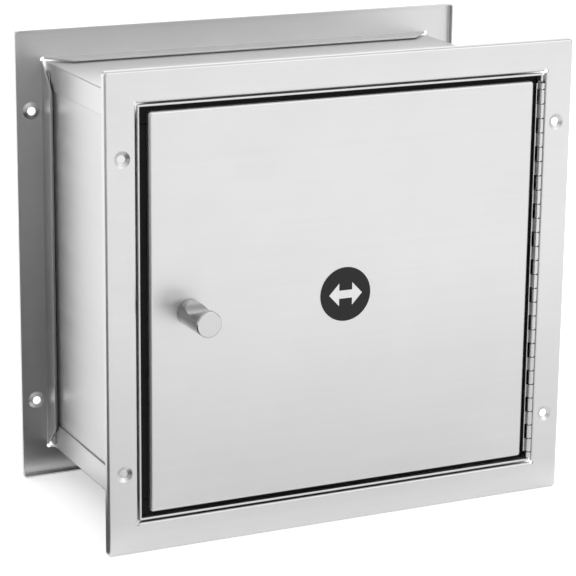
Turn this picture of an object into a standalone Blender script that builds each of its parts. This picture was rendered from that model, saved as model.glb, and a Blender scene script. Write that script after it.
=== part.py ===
"""Stainless pass-through cabinet for a partition wall, with an interlocked door at each end.

Metres, +Z up. X runs along the wall and Y through it; the front end faces -Y. The origin is under the
middle of the cabinet, at the level of the flanges' bottom edges, which it stands on when it is not in a wall.

Each end is modelled once, in end coordinates, as someone who faces that end sees it: x to the right,
y into the wall with y = 0 on the flange's face, z up. The rear end is the front end turned half round.
"""

import math

import bmesh
import bpy
from mathutils import Matrix, Vector

# Cabinet
WIDTH = 0.350                   # flange, outside
HEIGHT = 0.331                  # flange, outside
DEPTH = 0.177                   # between the outer faces of the two flanges
MID_Z = HEIGHT / 2
SHEET = 0.0012                  # flanges, panels and door skins
THIN = 0.00095                  # door frames
GAP = 0.0003                    # between pieces that lie against each other
BEND = 0.0015                   # outer radius of a fold

# Flange
CORNER = 0.0028
LIP = 0.005                     # folded back towards the wall
LIP_BEND = 0.0020
OPEN_X = 0.1535                 # half the opening
OPEN_Z = 0.14375
COLLAR = 0.018                  # depth of the folded collar round the box
NOTCH = 0.0021                  # corner relief radius
HOLE_X = 0.1630
HOLE_Z = 0.1075                 # above and below the middle
HOLE = 0.00275
DIMPLE = 0.0060
DIMPLE_DEPTH = 0.0018

# Box
LAP_X = 0.1523                  # outer face of the laps that fold over the sides
LAP = 0.019
ROOF_Z = 0.1429                 # outer face of the top panel, above the middle
LAP_START = 0.0142              # from the flange's face
SIDE_START = 0.0103

# Door frame, measured inwards from its outer edge
FRAME_X = 0.1521
FRAME_Z = 0.14265
FRAME_FRONT = 0.0008
HEM = 2 * THIN
LEDGE = 0.0090                  # front face of the gasket ledge
LEDGE_WIDTH = 0.0146
RETURN_END = 0.0160
SLEEVE_END = 0.0240
SLEEVE_INSET = 0.0028

# Door
DOOR_X = 0.14425
DOOR_Z = 0.1375
DOOR_RETURN = 0.0042
DOOR_CORNER = 0.0024
DOOR_BEND = 0.0020
LINER_X = 0.1330
LINER_Z = 0.1240
LINER_BACK = 0.0120
LINER_FRONT = 0.0015

# Gasket
GASKET_FRONT = 0.0045
GASKET_WIDTH = 0.0115
GASKET_ROUND = 0.0007

# Piano hinge
HINGE_X = 0.1512
HINGE_Y = 0.0012
HINGE_DROP = 0.0020             # its middle is below the door's
KNUCKLE = 0.01025               # pitch
KNUCKLES = 28                   # the first and the last are cut short
END_KNUCKLE = 0.00475
KNUCKLE_GAP = 0.0003
BARREL = 0.0020
LEAF = 0.0008
PIN = 0.00095
HINGE_LENGTH = (KNUCKLES - 2) * KNUCKLE + 2 * END_KNUCKLE
FRAME_LEAF_START = 0.0036        # from the flange's face
FRAME_LEAF_END = 0.0130
DOOR_LEAF_START = 0.1481
LEAF_FLOOR = 0.0054
LEAF_EDGE = 0.1476
LEAF_RISER = 0.1420
LEAF_INNER = 0.1350
BITE = 0.0001                   # of a knuckle's tooth into its leaf
RECESS = 0.0011                 # clearance round the barrel
SEAL_FRONT = 0.0030

# Knob
KNOB_X = -0.1155
KNOB = 0.0090
KNOB_LENGTH = 0.0330
KNOB_FOOT = 0.0006              # chamfer at the door
KNOB_EDGE = 0.0010              # round at the front
KNOB_BORE = 0.0125
SCOOP = 0.0180                  # radius of the finger scoop across its top
SCOOP_DEPTH = 0.0050
SCOOP_Y = 0.0170                # middle of the scoop, from the door
SCREW = 0.0019
SCREW_HOLE = 0.0023
SCREW_TIP = 0.0115              # in front of the door
SCREW_SEAT = 0.0023             # under the head, behind the door's face
SCREW_HEAD = 0.0039
SCREW_HEAD_TALL = 0.0024
KNOB_WASHER = 0.0050

# Label
LABEL = 0.0190
LABEL_BACK = 0.00015
LABEL_FRONT = 0.00040

# Magnetic catch
CATCH_FRONT = 0.0163
CATCH_BACK = 0.0300
CATCH_WALL = 0.1480
CATCH_NOSE = 0.1235
CATCH_EAR = 0.1420
CATCH_HALF = 0.0130
CATCH_EAR_HALF = 0.0220
MAGNET_X = (0.1333, 0.1253)
MAGNET_HALF = 0.0095
MAGNET_FRONT = 0.0137
MAGNET_BACK = 0.0260
CATCH_SCREW_Z = 0.0175
CATCH_SCREW = 0.0015
CATCH_SCREW_Y = 0.0205
CATCH_SCREW_HEAD = 0.0028
CATCH_SCREW_HEAD_TALL = 0.0020
STRIKE_THICK = 0.0010
STRIKE_MARGIN = 0.0015

# Interlock
ARM_X = -0.0155
ARM_HALF = 0.0060
ARM_TAB = 0.0190                # front face of the tab, from the flange's face
ARM_THICK = 0.0015
ARM_TOP = MID_Z + 0.1360
ARM_LOW = MID_Z + 0.1140
STUD = 0.0025
STUD_TAIL = 0.0090              # below the arm's top face
SPACER = 0.0050
WASHER = 0.0055
WASHER_THICK = 0.0010
NUT = 0.0046
NUT_TALL = 0.0040
KEEPER_BACK = 0.0240
KEEPER_LIP = 0.0080
KEEPER_FOOT = 0.0140
KEEPER_Z = (MID_Z + 0.1135, MID_Z + 0.1235)

HINGE_SHIFT = Vector((-HINGE_X, -HINGE_Y, 0))


# ---------------------------------------------------------------- materials and objects

def material(name, colour, roughness, metallic):
    finish = bpy.data.materials.new(name)
    finish.use_nodes = True
    shader = finish.node_tree.nodes["Principled BSDF"]
    shader.inputs["Base Color"].default_value = (*colour, 1)
    shader.inputs["Roughness"].default_value = roughness
    shader.inputs["Metallic"].default_value = metallic
    return finish


def clear_scene():
    for thing in list(bpy.data.objects):
        bpy.data.objects.remove(thing, do_unlink=True)


def empty(name, parent=None, location=(0, 0, 0), turn=0):
    marker = bpy.data.objects.new(name, None)
    marker.parent = parent
    marker.location = location
    marker.rotation_euler.z = turn
    bpy.context.collection.objects.link(marker)
    return marker


def piece(name, bm, finish, parent=None, location=(0, 0, 0), smooth=35):
    """Turn a bmesh into a named object; edges sharper than `smooth` degrees stay crisp."""
    mesh = bpy.data.meshes.new(name)
    bm.to_mesh(mesh)
    bm.free()
    if finish:
        mesh.materials.append(finish)
    mesh.shade_smooth()
    mesh.set_sharp_from_angle(angle=math.radians(smooth))
    thing = bpy.data.objects.new(name, mesh)
    thing.parent = parent
    thing.location = location
    bpy.context.collection.objects.link(thing)
    return thing


def guide(name, bm, parent=None, location=(0, 0, 0)):
    """A solid that only shapes its neighbours."""
    tool = piece(name, bm, None, parent, location)
    tool.hide_render = True
    tool.display_type = "WIRE"
    return tool


def combine(thing, tool, operation):
    step = thing.modifiers.new(f"{operation.lower()} {tool.name}", "BOOLEAN")
    step.operation = operation
    step.solver = "EXACT"
    step.object = tool


# ---------------------------------------------------------------- shapes

def arc(centre, radius, start, end, steps):
    """Points along an arc, both ends included; angles in degrees."""
    points = []
    for i in range(steps + 1):
        angle = math.radians(start + (end - start) * i / steps)
        points.append((centre[0] + radius * math.cos(angle), centre[1] + radius * math.sin(angle)))
    return points


def rounded_rectangle(half_x, half_z, radius, steps=3):
    points = []
    for sign_x, sign_z, start in ((1, 1, 0), (-1, 1, 90), (-1, -1, 180), (1, -1, 270)):
        centre = (sign_x * (half_x - radius), sign_z * (half_z - radius))
        points += arc(centre, radius, start, start + 90, steps)
    return points


AXES = {
    "x": lambda u, v, w: (w, u, v),
    "y": lambda u, v, w: (u, w, v),
    "z": lambda u, v, w: (u, v, w),
}


def prism(bm, outline, axis, start, end):
    """A flat outline carried along an axis: (y, z) along x, (x, z) along y or (x, y) along z."""
    place = AXES[axis]
    low = [bm.verts.new(place(u, v, start)) for u, v in outline]
    high = [bm.verts.new(place(u, v, end)) for u, v in outline]
    faces = [bm.faces.new(low), bm.faces.new(high)]
    for i in range(len(outline)):
        j = (i + 1) % len(outline)
        faces.append(bm.faces.new((low[i], low[j], high[j], high[i])))
    bmesh.ops.recalc_face_normals(bm, faces=faces)


def box(bm, x, y, z):
    prism(bm, [(x[0], y[0]), (x[1], y[0]), (x[1], y[1]), (x[0], y[1])], "z", z[0], z[1])


def turned(bm, profile, axis, centre, steps, closed=False):
    """Revolve (radius, height) points round an axis; a closed profile gives a ring."""
    place = AXES[axis]
    rings = []
    for radius, height in profile:
        if radius == 0:
            rings.append([bm.verts.new(place(centre[0], centre[1], height))])
            continue
        circle = arc(centre, radius, 0, 360 - 360 / steps, steps - 1)
        rings.append([bm.verts.new(place(u, v, height)) for u, v in circle])
    pairs = list(zip(rings, rings[1:]))
    if closed:
        pairs.append((rings[-1], rings[0]))
    faces = []
    for a, b in pairs:
        for i in range(steps):
            j = (i + 1) % steps
            corners = [a[i % len(a)], a[j % len(a)], b[j % len(b)], b[i % len(b)]]
            faces.append(bm.faces.new(list(dict.fromkeys(corners))))
    bmesh.ops.recalc_face_normals(bm, faces=faces)


def tube(bm, outer, inner, axis, centre, start, end, steps):
    profile = [(outer, start), (outer, end), (inner, end), (inner, start)]
    turned(bm, profile, axis, centre, steps, closed=True)


def rod(bm, radius, axis, centre, start, end, steps, chamfer=0.0):
    profile = [(0, start), (radius, start), (radius, end), (0, end)]
    if chamfer:
        profile = [(0, start), (radius - chamfer, start), (radius, start + chamfer)]
        profile += [(radius, end - chamfer), (radius - chamfer, end), (0, end)]
    turned(bm, profile, axis, centre, steps)


def pan_screw(bm, axis, centre, shank, head, steps=12):
    """Shank as (radius, tip) and head as (radius, seat, height), along an axis."""
    radius, tip = shank
    width, seat, tall = head
    chamfer = radius / 4
    profile = [(0, tip), (radius - chamfer, tip), (radius, tip + chamfer), (radius, seat), (width, seat)]
    profile += [(width, seat + tall * 0.6), (width * 0.75, seat + tall * 0.9), (0, seat + tall)]
    turned(bm, profile, axis, centre, steps)


def sheet_section(corners, thickness, inner_radius=0.0003, steps=3):
    """Outline of a folded sheet from the corners of its middle line."""
    points = [Vector(corner) for corner in corners]
    turn_radius = inner_radius + thickness / 2
    line = []
    for i, here in enumerate(points):
        before = (here - points[i - 1]).normalized() if i else None
        after = (points[i + 1] - here).normalized() if i + 1 < len(points) else None
        if before is None or after is None:
            way = after or before
            line.append((here, Vector((-way.y, way.x))))
            continue
        fold = before.angle_signed(after) * -1
        reach = turn_radius * math.tan(abs(fold) / 2)
        side = Vector((-before.y, before.x)) * (1 if fold > 0 else -1)
        centre = here - before * reach + side * turn_radius
        for step in range(steps + 1):
            spoke = -side
            spoke.rotate(Matrix.Rotation(fold * step / steps, 2))
            normal = -spoke if fold > 0 else spoke
            line.append((centre + spoke * turn_radius, normal))
    left = [tuple(point + normal * thickness / 2) for point, normal in line]
    right = [tuple(point - normal * thickness / 2) for point, normal in reversed(line)]
    return left + right


def ring_between(bm, inner, outer):
    """Quads between two loops with the same number of points."""
    return [bm.faces.new((inner[i - 1], inner[i], outer[i], outer[i - 1])) for i in range(len(inner))]


def edge_loop(bm, verts):
    edges = []
    for i in range(len(verts)):
        ends = (verts[i - 1], verts[i])
        edges.append(bm.edges.get(ends) or bm.edges.new(ends))
    return edges


def lipped_outline(bm, half_x, half_z, corner, bend, lip, steps=2):
    """Skin of a lip folded back round a plate; returns the loop where the flat begins."""
    rows = [(0, lip)]
    for i in range(steps + 1):
        angle = math.radians(90 * i / steps)
        rows.append((bend * (1 - math.cos(angle)), bend * (1 - math.sin(angle))))
    previous = None
    for inset, y in rows:
        points = rounded_rectangle(half_x - inset, half_z - inset, corner - inset)
        loop = [bm.verts.new((x, y, MID_Z + z)) for x, z in points]
        if previous:
            ring_between(bm, previous, loop)
        previous = loop
    return previous


def fill_flat(bm, loops):
    """Fill the flat face between an outer loop and the holes in it, and turn the skin to face out."""
    edges = [edge for loop in loops for edge in edge_loop(bm, loop)]
    bmesh.ops.triangle_fill(bm, edges=edges, use_beauty=True, normal=(0, -1, 0))
    bmesh.ops.recalc_face_normals(bm, faces=bm.faces)
    flat = max(bm.faces, key=lambda face: face.calc_area())
    if flat.normal.y > 0:
        bmesh.ops.reverse_faces(bm, faces=bm.faces)


def thicken(thing, thickness):
    step = thing.modifiers.new("thickness", "SOLIDIFY")
    step.thickness = thickness
    step.offset = -1
    step.use_even_offset = True


# ---------------------------------------------------------------- sheet-metal pieces

def dimple(bm, x, z, steps=16, rows=3):
    """Skin of a dimpled screw hole; returns its rim on the flat."""
    rim = None
    previous = None
    for i in range(rows + 1):
        t = i / rows
        radius = DIMPLE + (HOLE - DIMPLE) * t
        y = DIMPLE_DEPTH * t * t * (3 - 2 * t)
        circle = arc((x, z), radius, 0, 360 - 360 / steps, steps - 1)
        loop = [bm.verts.new((u, y, MID_Z + v)) for u, v in circle]
        if previous:
            ring_between(bm, previous, loop)
        previous = loop
        rim = rim or loop
    return rim


def collar_flap(bm, start, end, inward, steps=2):
    """Skin of one side of the collar, from its fold line on the flat; its far corners are cut at 45 degrees."""
    along = (end.co - start.co).normalized()
    previous = (start, end)
    for i in range(1, steps + 1):
        angle = math.radians(90 * i / steps)
        shift = inward * BEND * math.sin(angle) + Vector((0, BEND * (1 - math.cos(angle)), 0))
        row = (bm.verts.new(start.co + shift), bm.verts.new(end.co + shift))
        bm.faces.new((previous[0], previous[1], row[1], row[0]))
        previous = row
    drop = Vector((0, COLLAR - BEND, 0))
    cut = along * (COLLAR - BEND)
    row = (bm.verts.new(previous[0].co + drop + cut), bm.verts.new(previous[1].co + drop - cut))
    bm.faces.new((previous[0], previous[1], row[1], row[0]))


def flange(name, finish, parent, location=(0, 0, 0)):
    bm = bmesh.new()
    outer = lipped_outline(bm, WIDTH / 2, HEIGHT / 2, CORNER, LIP_BEND, LIP)
    reach = math.degrees(math.asin(BEND / NOTCH))
    opening = []
    for sign_x, sign_z, start in ((1, 1, 0), (-1, 1, 90), (-1, -1, 180), (1, -1, 270)):
        centre = (sign_x * OPEN_X, sign_z * OPEN_Z)
        notch = arc(centre, NOTCH, start - 90 + reach, start + 180 - reach, 6)
        opening.append([bm.verts.new((x, 0, MID_Z + z)) for x, z in notch])
    inward = (Vector((0, 0, -1)), Vector((1, 0, 0)), Vector((0, 0, 1)), Vector((-1, 0, 0)))
    for i, side in enumerate(inward):
        collar_flap(bm, opening[i][-1], opening[(i + 1) % 4][0], side)
    rims = [dimple(bm, sx * HOLE_X, sz * HOLE_Z) for sx in (-1, 1) for sz in (-1, 1)]
    fill_flat(bm, [outer, [vert for notch in opening for vert in notch], *rims])
    thing = piece(name, bm, finish, parent, location, smooth=40)
    thicken(thing, SHEET)
    return thing


def build_box(steel):
    half_y = DEPTH / 2
    for name, up in (("cabinet_top", 1), ("cabinet_bottom", -1)):
        side_x = LAP_X - SHEET / 2
        roof = MID_Z + up * (ROOF_Z - SHEET / 2)
        edge = MID_Z + up * (ROOF_Z - LAP)
        corners = [(-side_x, edge), (-side_x, roof), (side_x, roof), (side_x, edge)]
        bm = bmesh.new()
        prism(bm, sheet_section(corners, SHEET), "y", LAP_START - half_y, half_y - LAP_START)
        piece(name, bm, steel)
    outer_x = LAP_X - SHEET - GAP
    top = ROOF_Z - SHEET - GAP
    for name, side in (("cabinet_left_side", -1), ("cabinet_right_side", 1)):
        bm = bmesh.new()
        faces = sorted((side * outer_x, side * (outer_x - SHEET)))
        box(bm, faces, (SIDE_START - half_y, half_y - SIDE_START), (MID_Z - top, MID_Z + top))
        piece(name, bm, steel)


def frame_section():
    """Section of a door frame as (inset from its outer edge, y): hem, gasket ledge, return and sleeve."""
    hem_nose = arc((THIN, FRAME_FRONT + THIN), THIN, 180, 360, 6)
    ledge_fold = arc((LEDGE_WIDTH - BEND, LEDGE + BEND), BEND, 270, 360, 3)
    inner_fold = arc((LEDGE_WIDTH - BEND, LEDGE + BEND), BEND - THIN, 360, 270, 2)
    section = [(0, LAP_START - GAP)]
    section += hem_nose
    section += [(HEM, LEDGE)]
    section += ledge_fold
    section += [(LEDGE_WIDTH, RETURN_END), (LEDGE_WIDTH - THIN, RETURN_END)]
    section += inner_fold
    section += [(SLEEVE_INSET + THIN, LEDGE + THIN), (SLEEVE_INSET + THIN, SLEEVE_END)]
    section += [(SLEEVE_INSET, SLEEVE_END), (SLEEVE_INSET, LEDGE + THIN)]
    section += [(THIN, LEDGE + THIN), (THIN, LAP_START - GAP)]
    return section


def door_frame(name, finish, parent, cutters):
    bm = bmesh.new()
    rows = []
    for inset, y in frame_section():
        half_x = FRAME_X - inset
        half_z = FRAME_Z - inset
        corners = ((1, 1), (-1, 1), (-1, -1), (1, -1))
        rows.append([bm.verts.new((sx * half_x, y, MID_Z + sz * half_z)) for sx, sz in corners])
    for i in range(len(rows)):
        ring_between(bm, rows[i - 1], rows[i])
    bmesh.ops.recalc_face_normals(bm, faces=bm.faces)
    thing = piece(name, bm, finish, parent)
    for cutter in cutters:
        combine(thing, cutter, "DIFFERENCE")
    return thing


def door_skin(name, finish, parent):
    bm = bmesh.new()
    outer = lipped_outline(bm, DOOR_X, DOOR_Z, DOOR_CORNER, DOOR_BEND, DOOR_RETURN)
    circle = arc((KNOB_X, 0), SCREW_HOLE, 0, 337.5, 15)
    hole = [bm.verts.new((x, 0, MID_Z + z)) for x, z in circle]
    fill_flat(bm, [outer, hole])
    thing = piece(name, bm, finish, parent, HINGE_SHIFT, smooth=40)
    thicken(thing, SHEET)


def door_liner(name, finish, parent):
    """Inner pan, open towards the skin."""
    bm = bmesh.new()
    depth = LINER_BACK - LINER_FRONT
    outer = lipped_outline(bm, LINER_X, LINER_Z, 0.003, BEND, depth)
    fill_flat(bm, [outer])
    bmesh.ops.transform(bm, matrix=Matrix.Scale(-1, 4, (0, 1, 0)), verts=bm.verts)
    bmesh.ops.translate(bm, vec=(0, LINER_BACK, 0), verts=bm.verts)
    bmesh.ops.reverse_faces(bm, faces=bm.faces)
    thing = piece(name, bm, finish, parent, HINGE_SHIFT, smooth=40)
    thicken(thing, SHEET)


# ---------------------------------------------------------------- gaskets

def strip_section(low, high, front, back):
    """Section of a foam strip with its front corners eased."""
    r = GASKET_ROUND
    section = [(low, back)]
    section += arc((low + r, front + r), r, 180, 270, 2)
    section += arc((high - r, front + r), r, 270, 360, 2)
    section += [(high, back)]
    return section


def gaskets(end, rubber, parent):
    clear_x = FRAME_X - HEM - GAP
    clear_z = FRAME_Z - HEM - GAP
    back = LEDGE - GAP
    inner_z = clear_z - GASKET_WIDTH
    right = LEAF_RISER - LEAF / 2 - GAP
    for name, up in (("gasket_top", 1), ("gasket_bottom", -1)):
        low, high = sorted((MID_Z + up * inner_z, MID_Z + up * clear_z))
        bm = bmesh.new()
        section = [(y, z) for z, y in strip_section(low, high, GASKET_FRONT, back)]
        prism(bm, section, "x", -clear_x, right)
        piece(f"{end}_{name}", bm, rubber, parent)
    upright = (MID_Z - inner_z + GAP, MID_Z + inner_z - GAP)
    bm = bmesh.new()
    prism(bm, strip_section(-clear_x, -clear_x + GASKET_WIDTH, GASKET_FRONT, back), "z", *upright)
    piece(f"{end}_gasket_left", bm, rubber, parent)
    bm = bmesh.new()
    full = (MID_Z - clear_z, MID_Z + clear_z)
    leaf_back = LEAF_FLOOR + LEAF / 2 + GAP
    prism(bm, strip_section(right + GAP, clear_x, leaf_back, back), "z", *full)
    piece(f"{end}_gasket_right", bm, rubber, parent)


# ---------------------------------------------------------------- piano hinge

def knuckle_spans(door_side):
    """Height spans of one leaf's knuckles; the door's are the top one and every second one below it."""
    top = MID_Z - HINGE_DROP + HINGE_LENGTH / 2
    spans = []
    for i in range(KNUCKLES):
        tall = END_KNUCKLE if i in (0, KNUCKLES - 1) else KNUCKLE
        if (i % 2 == 0) == door_side:
            spans.append((top - tall + KNUCKLE_GAP / 2, top - KNUCKLE_GAP / 2))
        top -= tall
    return spans


def hinge_leaf(name, finish, parent, location, plate_section, plate_span, tooth, door_side):
    """A flat leaf, the teeth that join it to its knuckles, and the knuckles, united in one piece."""
    spans = knuckle_spans(door_side)
    bm = bmesh.new()
    prism(bm, plate_section, "z", *plate_span)
    leaf = piece(name, bm, finish, parent, location)
    bm = bmesh.new()
    for span in spans:
        box(bm, tooth[0], tooth[1], span)
    combine(leaf, guide(f"{name}_teeth", bm, parent, location), "UNION")
    bm = bmesh.new()
    for span in spans:
        tube(bm, BARREL, BARREL - LEAF, "z", (HINGE_X, HINGE_Y), span[0], span[1], 8)
    combine(leaf, guide(f"{name}_knuckles", bm, parent, location), "UNION")


def hinge(end, steel, rubber, fixed, door):
    low = MID_Z - HINGE_DROP - HINGE_LENGTH / 2
    high = low + HINGE_LENGTH
    outer = HINGE_X + BARREL
    plate = [(outer - LEAF, FRAME_LEAF_START), (outer, FRAME_LEAF_START)]
    plate += [(outer, FRAME_LEAF_END), (outer - LEAF, FRAME_LEAF_END)]
    tooth = ((outer - LEAF, outer), (HINGE_Y + LEAF, FRAME_LEAF_START + BITE))
    name = f"{end}_hinge_frame_leaf"
    hinge_leaf(name, steel, fixed, (0, 0, 0), plate, (low, high), tooth, door_side=False)

    bed = HINGE_Y + BARREL - LEAF / 2
    riser = LEAF_EDGE - LEAF / 2
    lining = SHEET + GAP + LEAF / 2
    corners = [(DOOR_LEAF_START, bed), (riser, bed), (riser, LEAF_FLOOR)]
    corners += [(LEAF_RISER, LEAF_FLOOR), (LEAF_RISER, lining), (LEAF_INNER, lining)]
    tooth = ((DOOR_LEAF_START - BITE, HINGE_X), (bed - LEAF / 2, bed + LEAF / 2))
    inside = DOOR_Z - SHEET - GAP
    name = f"{end}_hinge_door_leaf"
    plate = sheet_section(corners, LEAF, 0.0002, 2)
    hinge_leaf(name, steel, door, HINGE_SHIFT, plate, (MID_Z - inside, MID_Z + inside), tooth, door_side=True)

    bm = bmesh.new()
    rod(bm, PIN, "z", (HINGE_X, HINGE_Y), low, high, 12, chamfer=0.0002)
    piece(f"{end}_hinge_pin", bm, steel, fixed)

    bm = bmesh.new()
    low, high = DOOR_X + GAP, LEAF_EDGE - LEAF - GAP
    section = strip_section(low, high, SEAL_FRONT, LEAF_FLOOR - LEAF / 2 - GAP)
    prism(bm, section, "z", MID_Z - inside, MID_Z + inside)
    piece(f"{end}_hinge_seal", bm, rubber, door, HINGE_SHIFT)


def hinge_recess(end, parent):
    """Room in the frame's hem for the barrel."""
    bm = bmesh.new()
    middle = MID_Z - HINGE_DROP
    half = HINGE_LENGTH / 2 + 2 * GAP
    across = (HINGE_X - BARREL - RECESS, FRAME_X + RECESS)
    box(bm, across, (-RECESS, HINGE_Y + BARREL + RECESS), (middle - half, middle + half))
    return guide(f"{end}_hinge_recess", bm, parent)


# ---------------------------------------------------------------- knob and label

def knob(end, steel, fastener, door):
    base = -GAP
    front = -KNOB_LENGTH
    centre = (KNOB_X, MID_Z)
    bm = bmesh.new()
    profile = [(0, base), (KNOB - KNOB_FOOT, base), (KNOB, base - KNOB_FOOT)]
    profile += arc((KNOB - KNOB_EDGE, front + KNOB_EDGE), KNOB_EDGE, 0, -90, 2)
    profile += [(0, front)]
    turned(bm, profile, "y", centre, 32)
    body = piece(f"{end}_knob", bm, steel, door, HINGE_SHIFT)
    bm = bmesh.new()
    scoop_z = MID_Z + KNOB - SCOOP_DEPTH + SCOOP
    rod(bm, SCOOP, "x", (-SCOOP_Y, scoop_z), KNOB_X - 2 * KNOB, KNOB_X + 2 * KNOB, 48)
    combine(body, guide(f"{end}_knob_scoop", bm, door, HINGE_SHIFT), "DIFFERENCE")
    bm = bmesh.new()
    rod(bm, SCREW_HOLE, "y", centre, -KNOB_BORE, SHEET, 16)
    combine(body, guide(f"{end}_knob_bore", bm, door, HINGE_SHIFT), "DIFFERENCE")

    bm = bmesh.new()
    pan_screw(bm, "y", centre, (SCREW, -SCREW_TIP), (SCREW_HEAD, SCREW_SEAT, SCREW_HEAD_TALL))
    piece(f"{end}_knob_screw", bm, fastener, door, HINGE_SHIFT)
    bm = bmesh.new()
    tube(bm, KNOB_WASHER, SCREW_HOLE, "y", centre, SHEET + GAP, SCREW_SEAT - GAP, 16)
    piece(f"{end}_knob_washer", bm, fastener, door, HINGE_SHIFT)


def label(end, film, door):
    bm = bmesh.new()
    rod(bm, LABEL, "y", (0, MID_Z), -LABEL_FRONT, -LABEL_BACK, 40)
    piece(f"{end}_label", bm, film, door, HINGE_SHIFT)


# ---------------------------------------------------------------- catch and interlock

def catch_screw_holes(end, parent):
    bm = bmesh.new()
    wall = LAP_X - SHEET - GAP - SHEET - GAP / 2
    for up in (-1, 1):
        centre = (CATCH_SCREW_Y, MID_Z + up * CATCH_SCREW_Z)
        rod(bm, CATCH_SCREW + GAP, "x", centre, -wall, -CATCH_EAR + SHEET, 16)
    return guide(f"{end}_catch_screw_holes", bm, parent)


def catch(end, plastic, magnet, fastener, steel, fixed, door, holes):
    low, high = CATCH_EAR_HALF, CATCH_HALF
    outline = [(-CATCH_WALL, -low), (-CATCH_EAR, -low), (-CATCH_EAR, -high), (-CATCH_NOSE, -high)]
    outline += [(-CATCH_NOSE, high), (-CATCH_EAR, high), (-CATCH_EAR, low), (-CATCH_WALL, low)]
    bm = bmesh.new()
    prism(bm, [(x, MID_Z + z) for x, z in outline], "y", CATCH_FRONT, CATCH_BACK)
    housing = piece(f"{end}_catch_housing", bm, plastic, fixed)
    combine(housing, holes, "DIFFERENCE")
    bm = bmesh.new()
    pocket = (-MAGNET_X[0] - GAP, -MAGNET_X[1] + GAP)
    half = MAGNET_HALF + GAP
    box(bm, pocket, (CATCH_FRONT - SHEET, MAGNET_BACK + GAP), (MID_Z - half, MID_Z + half))
    combine(housing, guide(f"{end}_magnet_pocket", bm, fixed), "DIFFERENCE")

    bm = bmesh.new()
    across = (-MAGNET_X[0], -MAGNET_X[1])
    box(bm, across, (MAGNET_FRONT, MAGNET_BACK), (MID_Z - MAGNET_HALF, MID_Z + MAGNET_HALF))
    piece(f"{end}_catch_magnet", bm, magnet, fixed)

    shank = (CATCH_SCREW, SLEEVE_INSET - FRAME_X)
    head = (CATCH_SCREW_HEAD, GAP - CATCH_EAR, CATCH_SCREW_HEAD_TALL)
    for name, up in (("upper", 1), ("lower", -1)):
        bm = bmesh.new()
        pan_screw(bm, "x", (CATCH_SCREW_Y, MID_Z + up * CATCH_SCREW_Z), shank, head)
        piece(f"{end}_catch_screw_{name}", bm, fastener, fixed)

    bm = bmesh.new()
    half = MAGNET_HALF + STRIKE_MARGIN
    faces = (LINER_BACK + GAP, LINER_BACK + GAP + STRIKE_THICK)
    box(bm, (BEND - LINER_X, -MAGNET_X[1] + STRIKE_MARGIN), faces, (MID_Z - half, MID_Z + half))
    piece(f"{end}_catch_strike", bm, steel, door, HINGE_SHIFT)


def keeper(end, steel, door, hand):
    """Hook on the door for the interlock arm; the two doors' hooks are mirror images."""
    foot = LINER_BACK + GAP + SHEET / 2
    back = KEEPER_BACK - SHEET / 2
    middle = SHEET / 2
    corners = [(hand * KEEPER_FOOT, foot), (hand * middle, foot), (hand * middle, back)]
    corners += [(-hand * KEEPER_LIP, back)]
    bm = bmesh.new()
    prism(bm, sheet_section(corners, SHEET), "z", *KEEPER_Z)
    piece(f"{end}_interlock_keeper", bm, steel, door, HINGE_SHIFT)


def interlock(steel, fastener):
    """Rocking arm under the roof: with one door open, its far tab stands inside the other door's hook."""
    tab_y = DEPTH / 2 - ARM_TAB - ARM_THICK / 2
    bar_z = ARM_TOP - ARM_THICK / 2
    pivot = empty("interlock_pivot", None, (ARM_X, 0, 0))
    corners = [(-tab_y, ARM_LOW), (-tab_y, bar_z), (tab_y, bar_z), (tab_y, ARM_LOW)]
    bm = bmesh.new()
    prism(bm, sheet_section(corners, ARM_THICK), "x", -ARM_HALF, ARM_HALF)
    arm = piece("interlock_arm", bm, steel, pivot)
    bm = bmesh.new()
    rod(bm, STUD + GAP, "z", (0, 0), ARM_TOP - 2 * ARM_THICK, ARM_TOP + ARM_THICK, 16)
    combine(arm, guide("interlock_arm_hole", bm, pivot), "DIFFERENCE")

    centre = (ARM_X, 0)
    roof = MID_Z + ROOF_Z - SHEET - GAP
    bm = bmesh.new()
    rod(bm, STUD, "z", centre, ARM_TOP - STUD_TAIL, roof, 16, chamfer=STUD / 6)
    piece("interlock_stud", bm, fastener)
    bm = bmesh.new()
    tube(bm, SPACER, STUD + GAP, "z", centre, ARM_TOP + GAP, roof, 16)
    piece("interlock_spacer", bm, fastener)
    bm = bmesh.new()
    washer_top = ARM_TOP - ARM_THICK - GAP
    tube(bm, WASHER, STUD + GAP, "z", centre, washer_top - WASHER_THICK, washer_top, 16)
    piece("interlock_washer", bm, fastener)
    bm = bmesh.new()
    nut_top = washer_top - WASHER_THICK - GAP
    prism(bm, arc(centre, NUT, 0, 300, 5), "z", nut_top - NUT_TALL, nut_top)
    nut = piece("interlock_nut", bm, fastener, smooth=20)
    bm = bmesh.new()
    rod(bm, STUD + GAP, "z", centre, nut_top - NUT_TALL - GAP, nut_top + GAP, 16)
    combine(nut, guide("interlock_nut_bore", bm), "DIFFERENCE")


# ---------------------------------------------------------------- whole cabinet

def build_end(end, turn, hand, finishes):
    """Everything at one end but its flange."""
    satin, rubber, zinc, plastic, magnet, film = finishes
    place = (0, -math.cos(turn) * DEPTH / 2, 0)
    fixed = empty(f"{end}_end", None, place, turn)
    door = empty(f"{end}_door_axis", fixed, (HINGE_X, HINGE_Y, 0))
    recess = hinge_recess(end, fixed)
    screw_holes = catch_screw_holes(end, fixed)
    door_frame(f"{end}_door_frame", satin, fixed, (recess, screw_holes))
    gaskets(end, rubber, fixed)
    door_skin(f"{end}_door_skin", satin, door)
    door_liner(f"{end}_door_liner", satin, door)
    hinge(end, satin, rubber, fixed, door)
    knob(end, satin, zinc, door)
    label(end, film, door)
    catch(end, plastic, magnet, zinc, satin, fixed, door, screw_holes)
    keeper(end, satin, door, hand)
    return fixed


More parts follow.
